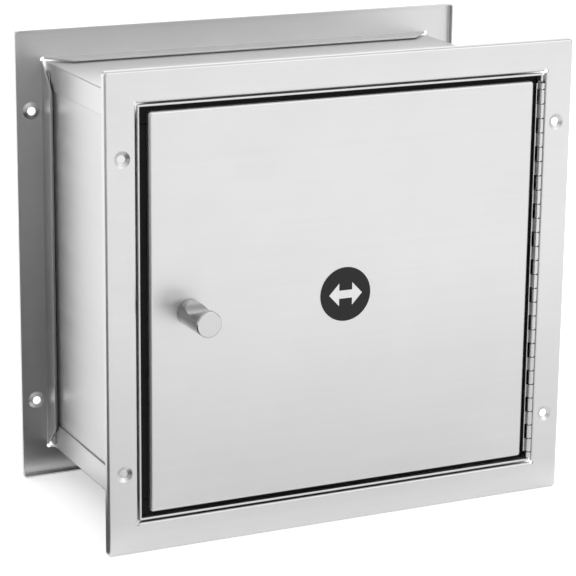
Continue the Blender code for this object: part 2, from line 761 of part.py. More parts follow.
def main():
    clear_scene()
    satin = material("satin_stainless", (0.72, 0.72, 0.71), 0.32, 1.0)
    rubber = material("black_foam", (0.02, 0.02, 0.02), 0.85, 0.0)
    zinc = material("zinc_steel", (0.60, 0.60, 0.62), 0.35, 1.0)
    plastic = material("grey_plastic", (0.20, 0.20, 0.21), 0.5, 0.0)
    magnet = material("ferrite", (0.06, 0.06, 0.06), 0.6, 0.0)
    film = material("black_film", (0.03, 0.03, 0.03), 0.4, 0.0)
    finishes = (satin, rubber, zinc, plastic, magnet, film)
    build_box(satin)
    front = build_end("front", 0, 1, finishes)
    rear = build_end("rear", math.pi, -1, finishes)
    flange("front_flange", satin, front)
    flange("rear_flange", satin, rear)
    interlock(satin, zinc)


main()
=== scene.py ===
"""Looks of the stainless pass-through cabinet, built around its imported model.

Metres, +Z up. Both ends are alike, so a piece is shaped once in end coordinates, as someone who faces that
end sees it: x to the right, y into the wall with y = 0 on the flange's face, z up from the flange's foot.
"""

import math

import bmesh
import bpy
from mathutils import Matrix, Vector


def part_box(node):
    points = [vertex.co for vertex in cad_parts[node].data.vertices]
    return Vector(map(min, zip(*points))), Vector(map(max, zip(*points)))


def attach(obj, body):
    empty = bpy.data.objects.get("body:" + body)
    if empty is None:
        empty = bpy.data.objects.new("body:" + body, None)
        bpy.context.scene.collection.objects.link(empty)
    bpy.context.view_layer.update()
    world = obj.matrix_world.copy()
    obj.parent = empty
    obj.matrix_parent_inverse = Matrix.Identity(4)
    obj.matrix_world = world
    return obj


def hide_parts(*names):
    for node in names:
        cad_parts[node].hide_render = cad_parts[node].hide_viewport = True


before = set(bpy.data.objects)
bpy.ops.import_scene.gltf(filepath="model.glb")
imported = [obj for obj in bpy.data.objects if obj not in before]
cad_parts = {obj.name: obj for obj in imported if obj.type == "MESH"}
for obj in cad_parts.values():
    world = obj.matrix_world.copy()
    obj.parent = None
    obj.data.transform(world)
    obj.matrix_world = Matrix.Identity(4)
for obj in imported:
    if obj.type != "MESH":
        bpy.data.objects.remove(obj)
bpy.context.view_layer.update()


# ---------------------------------------------------------------- sizes

def half_sizes(node):
    """Centre and half size of a CAD node."""
    low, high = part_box(node)
    return (low + high) / 2, (high - low) / 2


FLANGE, FLANGE_HALF = half_sizes("front_flange")
FACE = FLANGE.y - FLANGE_HALF.y
REAR_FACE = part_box("rear_flange")[1].y
MID_Z = FLANGE.z
COLLAR = 2 * FLANGE_HALF.y

SHEET = 0.0012                  # flanges and doors
BEND = 0.0015                   # outer radius of a fold
CORNER = 0.0028                 # of the flange, seen from the front
LIP = 0.005                     # depth of the flange's folded rim
LIP_BEND = 0.0020
OPEN_X = 0.1535                 # half the flange's opening
OPEN_Z = 0.14375
NOTCH = 0.0018                  # corner relief
HOLE_X = 0.1630
HOLE_Z = 0.1075
HOLE = 0.00275
DIMPLE = 0.0060
DIMPLE_DEPTH = 0.0018

DOOR, DOOR_HALF = half_sizes("front_door_skin")
DOOR_RETURN = 2 * DOOR_HALF.y   # depth of the door's folded edge
DOOR_CORNER = 0.0024
DOOR_BEND = 0.0020

PIN, PIN_HALF = half_sizes("front_hinge_pin")
HINGE_Y = PIN.y - FACE
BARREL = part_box("front_hinge_frame_leaf")[1].x - PIN.x
LEAF = 0.0008                   # sheet of both leaves
KNUCKLE = 0.01025
KNUCKLES = 28
END_KNUCKLE = 0.00475
KNUCKLE_GAP = 0.0009
ROLL = -292                     # degrees that a knuckle turns round the pin
LEAF_EDGE = 0.1477              # x of the door leaf's outer fold
LEAF_START = 0.1481             # x where its knuckles' leads begin
LEAF_RISER = 0.1420             # x where it steps forward to the back of the door skin
LEAF_INNER = 0.1350             # x of its end inside the door
LEAF_FLOOR = 0.0054             # y of the part behind the door's folded edge
STRIP_START = 0.1466            # x of the foam on the front of the door leaf
STRIP_END = 0.1474
STRIP = 0.0006                  # its thickness
FRAME_LEAF_END = 0.0130         # y of the frame leaf's end

KNOB, KNOB_HALF = half_sizes("front_knob")
KNOB_RADIUS = KNOB_HALF.x
KNOB_FRONT = KNOB.y - KNOB_HALF.y - FACE
KNOB_BACK = KNOB.y + KNOB_HALF.y - FACE
SCOOP = 0.0180                  # radius of the finger scoop
SCOOP_DEPTH = 0.0050
SCOOP_Y = -0.0170

LABEL, LABEL_HALF = half_sizes("front_label")
LABEL_FRONT = LABEL.y - LABEL_HALF.y - FACE
LABEL_BACK = LABEL.y + LABEL_HALF.y - FACE

GASKET_ROUND = 0.0012

PLACES = {
    "front": Matrix.Translation((0, FACE, 0)),
    "rear": Matrix.Translation((0, REAR_FACE, 0)) @ Matrix.Rotation(math.pi, 4, "Z"),
}
TRIM_BODY = {"front": "cabinet", "rear": "rear_trim"}


# ---------------------------------------------------------------- material nodes

class Nodes:
    """A material's node tree, with short calls for the nodes used here."""

    def __init__(self, name, colour, roughness, metallic):
        self.material = bpy.data.materials.new(name)
        self.material.use_nodes = True
        self.material.diffuse_color = (*colour, 1)
        self.tree = self.material.node_tree
        self.shader = self.tree.nodes["Principled BSDF"]
        self.set(self.shader, "Base Color", (*colour, 1))
        self.set(self.shader, "Roughness", roughness)
        self.set(self.shader, "Metallic", metallic)
        self.position = self.add("ShaderNodeTexCoord").outputs["Object"]

    def add(self, kind, **settings):
        node = self.tree.nodes.new(kind)
        for key, value in settings.items():
            setattr(node, key, value)
        return node

    def set(self, node, socket, value):
        """Give a socket a number, a colour or another node's output."""
        if isinstance(value, bpy.types.NodeSocket):
            self.tree.links.new(value, node.inputs[socket])
        else:
            node.inputs[socket].default_value = value

    def scaled(self, scale, source=None):
        node = self.add("ShaderNodeMapping")
        self.set(node, "Vector", source or self.position)
        self.set(node, "Scale", scale)
        return node.outputs["Vector"]

    def noise(self, vector, scale=1.0, detail=3.0, rough=0.55):
        node = self.add("ShaderNodeTexNoise")
        self.set(node, "Vector", vector)
        self.set(node, "Scale", scale)
        self.set(node, "Detail", detail)
        self.set(node, "Roughness", rough)
        return node.outputs["Fac"]

    def spread(self, value, low, high, start=0.3, end=0.7):
        """Map a noise value onto low to high."""
        node = self.add("ShaderNodeMapRange")
        self.set(node, "Value", value)
        self.set(node, "From Min", start)
        self.set(node, "From Max", end)
        self.set(node, "To Min", low)
        self.set(node, "To Max", high)
        return node.outputs["Result"]

    def sum(self, *values):
        total = values[0]
        for value in values[1:]:
            node = self.add("ShaderNodeMath", operation="ADD")
            self.set(node, 0, total)
            self.set(node, 1, value)
            total = node.outputs["Value"]
        return total

    def tint(self, value, dark, light):
        node = self.add("ShaderNodeMix", data_type="RGBA")
        self.set(node, 0, value)
        self.set(node, 6, (*dark, 1))
        self.set(node, 7, (*light, 1))
        return node.outputs[2]

    def bump(self, height, distance, strength=1.0):
        node = self.add("ShaderNodeBump")
        self.set(node, "Height", height)
        self.set(node, "Distance", distance)
        self.set(node, "Strength", strength)
        self.set(self.shader, "Normal", node.outputs["Normal"])


def lighter(colour, factor):
    return tuple(min(1, channel * factor) for channel in colour)


def brushed(name, colour, roughness, along, anisotropy=0.35, round_axis="Z"):
    """Satin sheet with a fine straight grain along one axis, faint broad streaks and handling marks."""
    nodes = Nodes(name, colour, roughness, 1.0)
    slow, fine, broad = 9, 2600, 190
    grain_scale = [fine] * 3
    streak_scale = [broad] * 3
    grain_scale["xyz".index(along)] = slow
    streak_scale["xyz".index(along)] = slow / 3
    grain = nodes.noise(nodes.scaled(grain_scale), detail=2)
    streaks = nodes.noise(nodes.scaled(streak_scale), detail=4, rough=0.6)
    cloud = nodes.noise(nodes.position, scale=14, detail=3)
    marks = nodes.noise(nodes.position, scale=75, detail=6, rough=0.7)
    tone = nodes.sum(nodes.spread(streaks, 0, 0.5), nodes.spread(cloud, 0, 0.5))
    nodes.set(nodes.shader, "Base Color", nodes.tint(tone, lighter(colour, 0.965), lighter(colour, 1.035)))
    nodes.set(nodes.shader, "Roughness", nodes.sum(
        nodes.spread(grain, roughness - 0.03, roughness + 0.03),
        nodes.spread(streaks, -0.02, 0.02),
        nodes.spread(marks, 0.0, 0.035, 0.52, 0.75)))
    tangent = nodes.add("ShaderNodeTangent", direction_type="RADIAL", axis=round_axis)
    nodes.set(nodes.shader, "Tangent", tangent.outputs["Tangent"])
    nodes.set(nodes.shader, "Anisotropic", anisotropy)
    nodes.bump(nodes.sum(grain, nodes.spread(streaks, 0, 0.4, 0, 1)), 0.000006)
    return nodes.material


def turned_steel(name, colour, roughness):
    """Lathe-turned bar: fine rings round the object's own y axis."""
    nodes = Nodes(name, colour, roughness, 1.0)
    split = nodes.add("ShaderNodeSeparateXYZ")
    nodes.set(split, "Vector", nodes.position)
    flat = nodes.add("ShaderNodeCombineXYZ")
    nodes.set(flat, "X", split.outputs["X"])
    nodes.set(flat, "Z", split.outputs["Z"])
    radius = nodes.add("ShaderNodeVectorMath", operation="LENGTH")
    nodes.set(radius, 0, flat.outputs["Vector"])
    rings = nodes.add("ShaderNodeCombineXYZ")
    nodes.set(rings, "X", radius.outputs["Value"])
    nodes.set(rings, "Y", split.outputs["Y"])
    lines = nodes.noise(rings.outputs["Vector"], scale=4200, detail=2)
    marks = nodes.noise(nodes.position, scale=260, detail=4, rough=0.65)
    nodes.set(nodes.shader, "Base Color", nodes.tint(marks, lighter(colour, 0.95), lighter(colour, 1.05)))
    nodes.set(nodes.shader, "Roughness", nodes.sum(
        nodes.spread(lines, roughness - 0.04, roughness + 0.04), nodes.spread(marks, -0.02, 0.03)))
    nodes.bump(lines, 0.000005)
    return nodes.material


def foam(name, colour):
    """Closed-cell foam strip: matt, with fine pores and a dusty bloom."""
    nodes = Nodes(name, colour, 0.9, 0.0)
    pores = nodes.noise(nodes.position, scale=1700, detail=3, rough=0.7)
    dust = nodes.noise(nodes.position, scale=120, detail=5)
    nodes.set(nodes.shader, "Base Color", nodes.tint(nodes.spread(dust, 0, 1), colour, lighter(colour, 1.6)))
    nodes.set(nodes.shader, "Roughness", nodes.spread(pores, 0.8, 0.98))
    nodes.set(nodes.shader, "Specular IOR Level", 0.15)
    nodes.bump(pores, 0.00012)
    return nodes.material


def plain(name, colour, roughness, metallic, scale, depth, spread=0.06, specular=0.5):
    """Plated, moulded or printed surfaces: a soft mottle and a fine skin texture."""
    nodes = Nodes(name, colour, roughness, metallic)
    nodes.set(nodes.shader, "Specular IOR Level", specular)
    skin = nodes.noise(nodes.position, scale=scale, detail=4, rough=0.6)
    cloud = nodes.noise(nodes.position, scale=scale / 12, detail=3)
    nodes.set(nodes.shader, "Base Color", nodes.tint(cloud, lighter(colour, 0.9), lighter(colour, 1.1)))
    nodes.set(nodes.shader, "Roughness", nodes.sum(
        nodes.spread(skin, roughness - spread, roughness + spread), nodes.spread(cloud, -0.02, 0.02)))
    nodes.bump(skin, depth)
    return nodes.material


STEEL = (0.58, 0.58, 0.58)
FINISHES = {
    "face": brushed("satin face", STEEL, 0.38, "x"),
    "side": brushed("satin side", lighter(STEEL, 0.98), 0.36, "y"),
    "roof": brushed("satin roof", lighter(STEEL, 0.98), 0.36, "x", round_axis="Y"),
    "hinge": brushed("hinge strip", lighter(STEEL, 0.9), 0.26, "z", 0.2),
    # painted shade: the knob's colour is the steel's colour made darker, standing in for the shade on its front
    # and left side; its turned rings are its own
    "knob": turned_steel("turned knob", lighter(STEEL, 0.80), 0.17),
    "foam": foam("black foam", (0.006, 0.006, 0.0065)),
    "zinc": plain("zinc plate", (0.52, 0.53, 0.55), 0.34, 1.0, 1500, 0.000006),
    "plastic": plain("grey plastic", (0.105, 0.107, 0.110), 0.5, 0.0, 1800, 0.00002),
    "ferrite": plain("ferrite", (0.035, 0.034, 0.034), 0.62, 0.0, 2400, 0.00003),
    "film": plain("black film", (0.010, 0.010, 0.011), 0.45, 0.0, 2200, 0.000008, specular=0.22),
    "print": plain("white print", (0.60, 0.60, 0.60), 0.5, 0.0, 2200, 0.000006, 0.04, 0.3),
}


# ---------------------------------------------------------------- shapes

def arc(centre, radius, start, end, steps):
    """Points along an arc, both ends included; angles in degrees."""
    points = []
    for i in range(steps + 1):
        angle = math.radians(start + (end - start) * i / steps)
        points.append((centre[0] + radius * math.cos(angle), centre[1] + radius * math.sin(angle)))
    return points


def circle(centre, radius, steps):
    return arc(centre, radius, 0, 360, steps)[:-1]


def rounded_rectangle(half_x, half_z, radius, steps):
    points = []
    for sign_x, sign_z, start in ((1, 1, 0), (-1, 1, 90), (-1, -1, 180), (1, -1, 270)):
        centre = (sign_x * (half_x - radius), sign_z * (half_z - radius))
        points += arc(centre, radius, start, start + 90, steps)
    return points


AXES = {
    "x": lambda u, v, w: (w, u, v),
    "y": lambda u, v, w: (u, w, v),
    "z": lambda u, v, w: (u, v, w),
}


def prism(bm, outline, axis, start, end):
    """A flat outline carried along an axis: (y, z) along x, (x, z) along y or (x, y) along z."""
    place = AXES[axis]
    low = [bm.verts.new(place(u, v, start)) for u, v in outline]
    high = [bm.verts.new(place(u, v, end)) for u, v in outline]
    faces = [bm.faces.new(low), bm.faces.new(high)]
    for i in range(len(outline)):
        j = (i + 1) % len(outline)
        faces.append(bm.faces.new((low[i], low[j], high[j], high[i])))
    bmesh.ops.recalc_face_normals(bm, faces=faces)


def turned(bm, profile, axis, centre, steps):
    """Revolve (radius, height) points round an axis."""
    place = AXES[axis]
    rings = []
    for radius, height in profile:
        if radius == 0:
            rings.append([bm.verts.new(place(centre[0], centre[1], height))])
        else:
            rings.append([bm.verts.new(place(u, v, height)) for u, v in circle(centre, radius, steps)])
    faces = []
    for a, b in zip(rings, rings[1:]):
        for i in range(steps):
            j = (i + 1) % steps
            corners = [a[i % len(a)], a[j % len(a)], b[j % len(b)], b[i % len(b)]]
            faces.append(bm.faces.new(list(dict.fromkeys(corners))))
    bmesh.ops.recalc_face_normals(bm, faces=faces)


def ring_between(bm, inner, outer):
    for i in range(len(inner)):
        bm.faces.new((inner[i - 1], inner[i], outer[i], outer[i - 1]))


def edge_loop(bm, verts):
    edges = []
    for i in range(len(verts)):
        ends = (verts[i - 1], verts[i])
        edges.append(bm.edges.get(ends) or bm.edges.new(ends))
    return edges


def fill_flat(bm, loops):
    """Fill the flat face between an outer loop and the holes in it, and turn the skin to face out."""
    edges = [edge for loop in loops for edge in edge_loop(bm, loop)]
    bmesh.ops.triangle_fill(bm, edges=edges, use_beauty=True, normal=(0, -1, 0))
    bmesh.ops.recalc_face_normals(bm, faces=bm.faces)
    flat = max(bm.faces, key=lambda face: face.calc_area())
    if flat.normal.y > 0:
        bmesh.ops.reverse_faces(bm, faces=bm.faces)


def lipped_outline(bm, half_x, half_z, corner, bend, lip, steps=6, corner_steps=9):
    """Skin of a lip folded back round a plate; returns the loop where the flat begins."""
    rows = [(0, lip)]
    for i in range(steps + 1):
        angle = math.radians(90 * i / steps)
        rows.append((bend * (1 - math.cos(angle)), bend * (1 - math.sin(angle))))
    previous = None
    for inset, y in rows:
        points = rounded_rectangle(half_x - inset, half_z - inset, corner - inset, corner_steps)
        loop = [bm.verts.new((x, y, MID_Z + z)) for x, z in points]
        if previous:
            ring_between(bm, previous, loop)
        previous = loop
    return previous


def sheet_section(corners, thickness, inner_radius=0.0003, steps=5):
    """Outline of a folded sheet from the corners of its middle line."""
    points = [Vector(corner) for corner in corners]
    turn_radius = inner_radius + thickness / 2
    line = []
    for i, here in enumerate(points):
        before = (here - points[i - 1]).normalized() if i else None
        after = (points[i + 1] - here).normalized() if i + 1 < len(points) else None
        if before is None or after is None:
            way = after or before
            line.append((here, Vector((-way.y, way.x))))
            continue
        fold = before.angle_signed(after) * -1
        reach = turn_radius * math.tan(abs(fold) / 2)
        side = Vector((-before.y, before.x)) * (1 if fold > 0 else -1)
        centre = here - before * reach + side * turn_radius
        for step in range(steps + 1):
            spoke = -side
            spoke.rotate(Matrix.Rotation(fold * step / steps, 2))
            normal = -spoke if fold > 0 else spoke
            line.append((centre + spoke * turn_radius, normal))
    left = [tuple(point + normal * thickness / 2) for point, normal in line]
    right = [tuple(point - normal * thickness / 2) for point, normal in reversed(line)]
    return left + right


# ---------------------------------------------------------------- pieces

def ease(thing, width, angle=45, segments=2):
    """Break the sharp edges, as deburring does, and keep the flats flat in shading."""
    step = thing.modifiers.new("eased edges", "BEVEL")
    step.width = width
    step.segments = segments
    step.limit_method = "ANGLE"
    step.angle_limit = math.radians(angle)
    step.use_clamp_overlap = True
    step = thing.modifiers.new("weighted normals", "WEIGHTED_NORMAL")
    step.keep_sharp = True
    step.weight = 80


def thicken(thing, thickness):
    step = thing.modifiers.new("thickness", "SOLIDIFY")
    step.thickness = thickness
    step.offset = -1
    step.use_even_offset = True


def mesh_object(name, bm, smooth=40):
    mesh = bpy.data.meshes.new(name)
    bm.to_mesh(mesh)
    bm.free()
    mesh.shade_smooth()
    mesh.set_sharp_from_angle(angle=math.radians(smooth))
    thing = bpy.data.objects.new(name, mesh)
    bpy.context.collection.objects.link(thing)
    return thing


def piece(name, bm, finish, end, body, replaced=(), smooth=40, origin=(0, 0, 0)):
    """A shaped piece in end coordinates, set in its place; `origin` becomes the object's own origin."""
    bmesh.ops.translate(bm, vec=-Vector(origin), verts=bm.verts)
    thing = mesh_object(name, bm, smooth)
    thing.data.materials.append(FINISHES[finish])
    thing.matrix_world = PLACES[end] @ Matrix.Translation(origin)
    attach(thing, body)
    if replaced:
        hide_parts(*replaced)
    return thing


def cut(thing, bm, operation="DIFFERENCE"):
    """Cut a shape, in the same coordinates as the thing's own mesh, out of a thing, or join it on."""
    tool = mesh_object("tool", bm)
    tool.matrix_world = thing.matrix_world
    step = thing.modifiers.new("cut", "BOOLEAN")
    step.operation = operation
    step.solver = "EXACT"
    step.object = tool
    bpy.context.view_layer.update()
    shaped = bpy.data.meshes.new_from_object(thing.evaluated_get(bpy.context.evaluated_depsgraph_get()))
    thing.modifiers.remove(step)
    shaped.materials.clear()
    shaped.materials.append(thing.data.materials[0])
    thing.data = shaped
    bpy.data.objects.remove(tool, do_unlink=True)


# ---------------------------------------------------------------- flanges

def dimple(bm, x, z, steps=40, rows=8):
    """Skin of a dimpled screw hole; returns its rim on the flat."""
    rim = None
    previous = None
    for i in range(rows + 1):
        t = i / rows
        radius = DIMPLE + (HOLE - DIMPLE) * t
        y = DIMPLE_DEPTH * (0.7 * t + 0.3 * t * t * (3 - 2 * t))
        loop = [bm.verts.new((u, y, MID_Z + v)) for u, v in circle((x, z), radius, steps)]
        if previous:
            ring_between(bm, previous, loop)
        previous = loop
        rim = rim or loop
    return rim


def collar_flap(bm, start, end, inward, steps=6):
    """Skin of one side of the collar, from its fold line on the flat; its far corners are cut at 45 degrees."""
    along = (end.co - start.co).normalized()
    previous = (start, end)
    for i in range(1, steps + 1):
        angle = math.radians(90 * i / steps)
        shift = inward * BEND * math.sin(angle) + Vector((0, BEND * (1 - math.cos(angle)), 0))
        row = (bm.verts.new(start.co + shift), bm.verts.new(end.co + shift))
        bm.faces.new((previous[0], previous[1], row[1], row[0]))
        previous = row
    drop = Vector((0, COLLAR - BEND, 0))
    slant = along * (COLLAR - BEND)
    row = (bm.verts.new(previous[0].co + drop + slant), bm.verts.new(previous[1].co + drop - slant))
    bm.faces.new((previous[0], previous[1], row[1], row[0]))


def flange(end):
    """Lipped plate with a folded collar, round corner reliefs and dimpled screw holes."""
    bm = bmesh.new()
    outer = lipped_outline(bm, FLANGE_HALF.x, FLANGE_HALF.z, CORNER, LIP_BEND, LIP)
    reach = math.degrees(math.asin(BEND / NOTCH))
    opening = []
    for sign_x, sign_z, start in ((1, 1, 0), (-1, 1, 90), (-1, -1, 180), (1, -1, 270)):
        centre = (sign_x * OPEN_X, sign_z * OPEN_Z)
        notch = arc(centre, NOTCH, start - 90 + reach, start + 180 - reach, 18)
        opening.append([bm.verts.new((x, 0, MID_Z + z)) for x, z in notch])
    inward = (Vector((0, 0, -1)), Vector((1, 0, 0)), Vector((0, 0, 1)), Vector((-1, 0, 0)))
    for i, side in enumerate(inward):
        collar_flap(bm, opening[i][-1], opening[(i + 1) % 4][0], side)
    rims = [dimple(bm, sx * HOLE_X, sz * HOLE_Z) for sx in (-1, 1) for sz in (-1, 1)]
    fill_flat(bm, [outer, [vert for notch in opening for vert in notch], *rims])
    thing = piece(f"{end}_flange_pressed", bm, "face", end, TRIM_BODY[end], [f"{end}_flange"])
    thicken(thing, SHEET)
    ease(thing, 0.00016, 60)


# ---------------------------------------------------------------- doors

def door(end):
    """Door plate with its edges folded back."""
    bm = bmesh.new()
    outer = lipped_outline(bm, DOOR_HALF.x, DOOR_HALF.z, DOOR_CORNER, DOOR_BEND, DOOR_RETURN)
    fill_flat(bm, [outer])
    thing = piece(f"{end}_door_plate", bm, "face", end, f"{end}_door", [f"{end}_door_skin"])
    thicken(thing, SHEET)
    ease(thing, 0.00012, 60)


def gaskets(end):
    """Foam strips with rounded faces, from the CAD strips' boxes."""
    for side in ("top", "bottom", "left", "right"):
        low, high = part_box(f"front_gasket_{side}")
        level = side in ("top", "bottom")
        across = (low.z, high.z) if level else (low.x, high.x)
        along = (low.x, high.x) if level else (low.z, high.z)
        front, back = low.y - FACE, high.y - FACE
        r = min(GASKET_ROUND, (back - front) * 0.45)
        section = [(across[0], back)]
        section += arc((across[0] + r, front + r), r, 180, 270, 6)
        section += arc((across[1] - r, front + r), r, 270, 360, 6)
        section += [(across[1], back)]
        bm = bmesh.new()
        if level:
            prism(bm, [(y, z) for z, y in section], "x", *along)
        else:
            prism(bm, section, "z", *along)
        thing = piece(f"{end}_gasket_{side}_foam", bm, "foam", end, "cabinet", [f"{end}_gasket_{side}"])
        ease(thing, 0.0003, 60, 3)


def knuckle_spans(door_side):
    """Heights of one leaf's knuckles, from the top; the door's are the first and every second one after it."""
    top = PIN.z + PIN_HALF.z
    spans = []
    for i in range(KNUCKLES):
        tall = END_KNUCKLE if i in (0, KNUCKLES - 1) else KNUCKLE
        if (i % 2 == 0) == door_side:
            spans.append((top - tall + KNUCKLE_GAP / 2, top - KNUCKLE_GAP / 2))
        top -= tall
    return spans


def rolled(start, lead):
    """Section of a knuckle: a strip that leads in along `lead` and rolls round the pin from angle `start`."""
    centre = (PIN.x, HINGE_Y)
    outside = arc(centre, BARREL, start, start + ROLL, 30)
    inside = arc(centre, BARREL - LEAF, start + ROLL, start, 30)
    lead = Vector(lead)
    outer_start = Vector(outside[0]) + lead
    inner_start = Vector(inside[-1]) + lead
    return [tuple(outer_start)] + outside + inside + [tuple(inner_start)]


def leaf(end, name, body, plate, plate_span, roll, door_side):
    """A hinge leaf: its plate and its row of rolled knuckles in one piece."""
    bm = bmesh.new()
    prism(bm, plate, "z", *plate_span)
    thing = piece(f"{end}_{name}_rolled", bm, "hinge", end, body, [f"{end}_{name}"])
    bm = bmesh.new()
    for span in knuckle_spans(door_side):
        prism(bm, roll, "z", *span)
    cut(thing, bm, "UNION")
    ease(thing, 0.00012, 60)


def hinge(end):
    """Frame leaf, door leaf with its foam strip, and the pin."""
    outer = PIN.x + BARREL
    tangent = HINGE_Y + 2 * BARREL - LEAF
    plate = [(outer - LEAF, tangent), (outer, tangent), (outer, FRAME_LEAF_END), (outer - LEAF, FRAME_LEAF_END)]
    lead = (0, tangent - HINGE_Y + LEAF / 4)
    span = (PIN.z - PIN_HALF.z, PIN.z + PIN_HALF.z)
    leaf(end, "hinge_frame_leaf", "cabinet", plate, span, rolled(0, lead), False)

    bed = HINGE_Y + BARREL - LEAF / 2
    riser = LEAF_EDGE - LEAF / 2
    lining = SHEET + LEAF
    corners = [(LEAF_START, bed), (riser, bed), (riser, LEAF_FLOOR), (LEAF_RISER, LEAF_FLOOR)]
    corners += [(LEAF_RISER, lining), (LEAF_INNER, lining)]
    plate = sheet_section(corners, LEAF)
    span = (DOOR.z - DOOR_HALF.z + 2 * SHEET, DOOR.z + DOOR_HALF.z - 2 * SHEET)
    lead = (LEAF_START - LEAF / 4 - PIN.x, 0)
    leaf(end, "hinge_door_leaf", f"{end}_door", plate, span, rolled(90, lead), True)

    bed_front = bed - LEAF / 2
    bm = bmesh.new()
    outline = [(STRIP_START, bed_front), (STRIP_START, bed_front - STRIP)]
    outline += [(STRIP_END, bed_front - STRIP), (STRIP_END, bed_front)]
    prism(bm, outline, "z", *span)
    thing = piece(f"{end}_hinge_strip_foam", bm, "foam", end, f"{end}_door")
    ease(thing, 0.0002, 60, 3)

    radius = PIN_HALF.x
    dome = radius * 0.35
    bm = bmesh.new()
    low, high = PIN.z - PIN_HALF.z, PIN.z + PIN_HALF.z
    profile = [(0, low), (radius * 0.6, low + dome * 0.3), (radius, low + dome)]
    profile += [(radius, high - dome), (radius * 0.6, high - dome * 0.3), (0, high)]
    turned(bm, profile, "z", (PIN.x, HINGE_Y), 32)
    piece(f"{end}_hinge_pin_headed", bm, "hinge", end, "cabinet", [f"{end}_hinge_pin"])


# ---------------------------------------------------------------- knob and label

def knob(end):
    """Turned knob with a finger scoop across its top and a fine round on every edge."""
    length = KNOB_BACK - KNOB_FRONT
    edge, foot = 0.0010, 0.0005
    front = -length / 2
    back = length / 2
    profile = [(0, front)]
    profile += arc((KNOB_RADIUS - edge, front + edge), edge, -90, 0, 8)
    profile += [(KNOB_RADIUS, front + length * i / 12) for i in range(1, 12)]
    profile += [(KNOB_RADIUS, back - foot), (KNOB_RADIUS - foot, back), (0, back)]
    bm = bmesh.new()
    turned(bm, profile, "y", (0, 0), 96)
    middle = (KNOB.x, (KNOB_FRONT + KNOB_BACK) / 2, KNOB.z)
    bmesh.ops.translate(bm, vec=middle, verts=bm.verts)
    thing = piece(f"{end}_knob_turned", bm, "knob", end, f"{end}_door", [f"{end}_knob"], 30, middle)
    bm = bmesh.new()
    scoop = circle((SCOOP_Y - middle[1], KNOB_RADIUS - SCOOP_DEPTH + SCOOP), SCOOP, 180)
    prism(bm, scoop, "x", -2 * KNOB_RADIUS, 2 * KNOB_RADIUS)
    cut(thing, bm)
    thing.data.set_sharp_from_angle(angle=math.radians(30))
    ease(thing, 0.00022, 30, 3)


def label(end):
    """Round film with a generic two-way arrow."""
    radius = LABEL_HALF.x
    edge = 0.00008
    bm = bmesh.new()
    profile = [(0, LABEL_FRONT), (radius - edge, LABEL_FRONT), (radius, LABEL_FRONT + edge)]
    profile += [(radius, LABEL_BACK), (0, LABEL_BACK)]
    turned(bm, profile, "y", (LABEL.x, LABEL.z), 96)
    piece(f"{end}_label_film", bm, "film", end, f"{end}_door", [f"{end}_label"], 30)

    tip, neck, shaft, half = radius * 0.66, radius * 0.26, radius * 0.15, radius * 0.42
    arrow = [(tip, 0), (neck, -half), (neck, -shaft), (-neck, -shaft), (-neck, -half)]
    arrow += [(-tip, 0), (-neck, half), (-neck, shaft), (neck, shaft), (neck, half)]
    bm = bmesh.new()
    outline = [(LABEL.x + x, LABEL.z + z) for x, z in arrow]
    prism(bm, outline, "y", LABEL_FRONT - 0.00004, LABEL_FRONT + 0.00002)
    piece(f"{end}_label_symbol", bm, "print", end, f"{end}_door")


# ---------------------------------------------------------------- CAD pieces that stay

def weld_and_smooth():
    """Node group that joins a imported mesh's split vertices and smooths all but its sharp edges."""
    group = bpy.data.node_groups.new("weld and smooth", "GeometryNodeTree")
    group.interface.new_socket("Geometry", in_out="INPUT", socket_type="NodeSocketGeometry")
    group.interface.new_socket("Geometry", in_out="OUTPUT", socket_type="NodeSocketGeometry")
    start = group.nodes.new("NodeGroupInput")
    end = group.nodes.new("NodeGroupOutput")
    weld = group.nodes.new("GeometryNodeMergeByDistance")
    weld.inputs["Distance"].default_value = 0.00001
    clean = group.nodes.new("GeometryNodeRemoveAttribute")
    clean.inputs["Name"].default_value = "custom_normal"
    angle = group.nodes.new("GeometryNodeInputMeshEdgeAngle")
    flat = group.nodes.new("FunctionNodeCompare")
    flat.operation = "LESS_THAN"
    flat.inputs["B"].default_value = math.radians(40)
    faces = group.nodes.new("GeometryNodeSetShadeSmooth")
    edges = group.nodes.new("GeometryNodeSetShadeSmooth")
    edges.domain = "EDGE"
    link = group.links.new
    link(start.outputs["Geometry"], clean.inputs["Geometry"])
    link(clean.outputs["Geometry"], weld.inputs["Geometry"])
    link(weld.outputs["Geometry"], faces.inputs["Geometry"])
    link(faces.outputs["Geometry"], edges.inputs["Geometry"])
    link(angle.outputs["Unsigned Angle"], flat.inputs["A"])
    link(flat.outputs["Result"], edges.inputs["Shade Smooth"])
    link(edges.outputs["Geometry"], end.inputs["Geometry"])
    return group


def dress(node, finish, width=0.00015):
    """Give a CAD node its finish and eased edges; its own mesh stays as it is."""
    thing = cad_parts[node]
    for slot in thing.material_slots:
        slot.material = FINISHES[finish]
    step = thing.modifiers.new("weld and smooth", "NODES")
    step.node_group = WELD
    step = thing.modifiers.new("flats", "DECIMATE")
    step.decimate_type = "DISSOLVE"
    step.angle_limit = math.radians(0.5)
    ease(thing, width, 44)


WELD = weld_and_smooth()


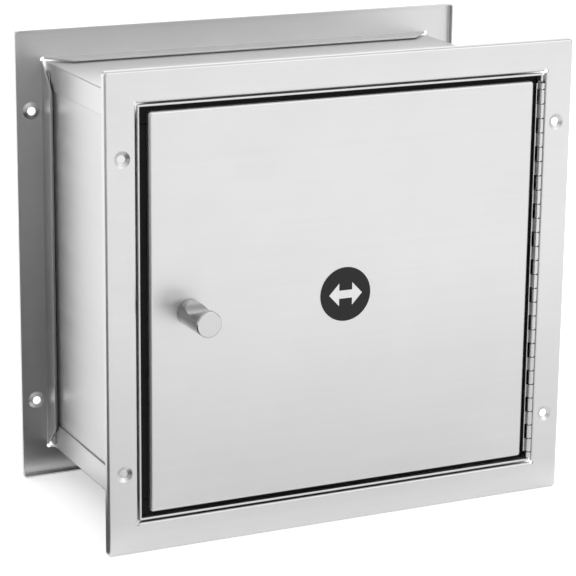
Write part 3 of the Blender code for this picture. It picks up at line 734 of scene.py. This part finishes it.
def dress_cad():
    """Finishes for the CAD nodes that no piece replaces."""
    dress("cabinet_top", "roof", 0.0004)
    dress("cabinet_bottom", "roof", 0.0004)
    dress("cabinet_left_side", "side")
    dress("cabinet_right_side", "side")
    dress("interlock_arm", "roof")
    for part in ("stud", "spacer", "washer", "nut"):
        dress(f"interlock_{part}", "zinc")
    for end in PLACES:
        dress(f"{end}_door_frame", "face", 0.0001)
        dress(f"{end}_door_liner", "face")
        dress(f"{end}_hinge_seal", "foam")
        dress(f"{end}_catch_housing", "plastic", 0.0004)
        dress(f"{end}_catch_magnet", "ferrite", 0.0003)
        dress(f"{end}_catch_strike", "side")
        dress(f"{end}_interlock_keeper", "side")
        for part in ("catch_screw_upper", "catch_screw_lower", "knob_screw", "knob_washer"):
            dress(f"{end}_{part}", "zinc", 0.0001)


# ---------------------------------------------------------------- studio

def stage_sheet(name, corners, colour, glow=0.0, reflected_only=True):
    """A flat stage piece; one that is reflected only is seen in the steel and nowhere else, and paints shade or
    a glow into the steel's reflections.
    """
    bm = bmesh.new()
    bm.faces.new([bm.verts.new(corner) for corner in corners])
    thing = mesh_object(name, bm)
    nodes = Nodes(name, (colour, colour, colour), 0.7, 0.0)
    grain = nodes.noise(nodes.position, scale=60, detail=4)
    nodes.set(nodes.shader, "Roughness", nodes.spread(grain, 0.65, 0.75))
    nodes.set(nodes.shader, "Emission Color", (1, 1, 1, 1))
    nodes.set(nodes.shader, "Emission Strength", glow)
    thing.data.materials.append(nodes.material)
    if reflected_only:
        thing.visible_camera = False
        thing.visible_diffuse = False
        thing.visible_shadow = False


def soft_light(name, place, target, size, power):
    lamp = bpy.data.lights.new(name, "AREA")
    lamp.shape = "RECTANGLE"
    lamp.size, lamp.size_y = size
    lamp.energy = power
    thing = bpy.data.objects.new(name, lamp)
    thing.location = place
    thing.rotation_euler = (Vector(target) - Vector(place)).to_track_quat("-Z", "Y").to_euler()
    bpy.context.collection.objects.link(thing)


def studio():
    """Pale floor, white surroundings and soft lights; cards round the cabinet, seen only in the steel, paint
    shade into its reflections.
    """
    reach = 9
    corners = [(-reach, -reach, 0), (reach, -reach, 0), (reach, reach, 0), (-reach, reach, 0)]
    stage_sheet("floor", corners, 0.84, 0.45, False)
    low = 0.002
    for name, colour, glow, corners in (
        # painted shade: black sheet on the floor at the front left, seen only in the steel's reflections
        ("painted shade card left", 0.02, 0, [
            (-0.17, 0.02, low), (-1.5, 0.1, low), (-1.9, -1.5, low), (-0.42, -1.3, low), (-0.18, -0.15, low)]),
        # painted shade: black panel round the camera, seen only in reflections; it darkens the knob's left side
        # and the door beside it
        ("painted shade panel front", 0.02, 0, [
            (-1.7, -1.5, 0.25), (-0.3, -2.2, 0.25), (-0.3, -2.2, 0.95), (-1.7, -1.5, 0.95)]),
        # painted shadow: dim sheet under the box, seen only in reflections, in place of the shadowed floor
        # there
        ("painted shadow card below", 0.16, 0, [
            (-0.17, -0.07, low), (0.16, -0.07, low), (0.16, 0.07, low), (-0.17, 0.07, low)]),
        # painted contact shade: a glowing grey sheet, dimmer than the floor, in front of the cabinet's foot,
        # seen only in reflections
        ("painted contact shade card", 0.6, 0.45, [
            (-0.17, -0.125, low), (0.5, -0.11, low), (0.6, -0.45, low), (-0.2, -0.45, low)]),
        # painted shade: dark sheet on the floor at the right rear, seen only in reflections
        ("painted shade card right", 0.1, 0, [
            (0.24, 0, low), (1.5, 0.3, low), (1.5, 1.2, low), (0.3, 0.4, low)]),
        # painted shade: black sheet high at the left rear, seen only in reflections; it blocks no light
        ("painted shade sheet rear", 0.02, 0, [
            (-0.85, 1.6, 0.8), (-0.25, 1.8, 0.8), (-0.25, 1.8, 1.35), (-0.85, 1.6, 1.35)]),
    ):
        stage_sheet(name, corners, colour, glow)
    world = bpy.data.worlds.new("studio")
    world.use_nodes = True
    background = world.node_tree.nodes["Background"]
    background.inputs["Color"].default_value = (1, 1, 1, 1)
    background.inputs["Strength"].default_value = 1.0
    bpy.context.scene.world = world
    target = (0, 0, MID_Z)
    soft_light("key", (1.4, -2.4, 1.7), target, (2.4, 1.8), 16)
    soft_light("back", (0.5, 1.9, 1.9), target, (3.4, 2.4), 18)
    soft_light("fill", (-1.7, 1.3, 0.6), target, (1.2, 0.8), 6)
    bpy.context.scene.view_settings.view_transform = "Standard"


def camera():
    """Long lens, from the left and above."""
    data = bpy.data.cameras.new("camera")
    data.lens = 150
    data.sensor_width = 36
    thing = bpy.data.objects.new("camera", data)
    yaw, pitch, roll = (math.radians(angle) for angle in (25.45, -15.4, 0.6))
    turn = Matrix.Rotation(-yaw, 4, "Z") @ Matrix.Rotation(math.pi / 2 + pitch, 4, "X")
    turn = turn @ Matrix.Rotation(roll, 4, "Z")
    thing.matrix_world = Matrix.Translation((-0.7157, -1.5009, 0.6053)) @ turn
    bpy.context.collection.objects.link(thing)
    bpy.context.scene.camera = thing


for end in PLACES:
    flange(end)
    door(end)
    gaskets(end)
    hinge(end)
    knob(end)
    label(end)
dress_cad()
studio()
camera()
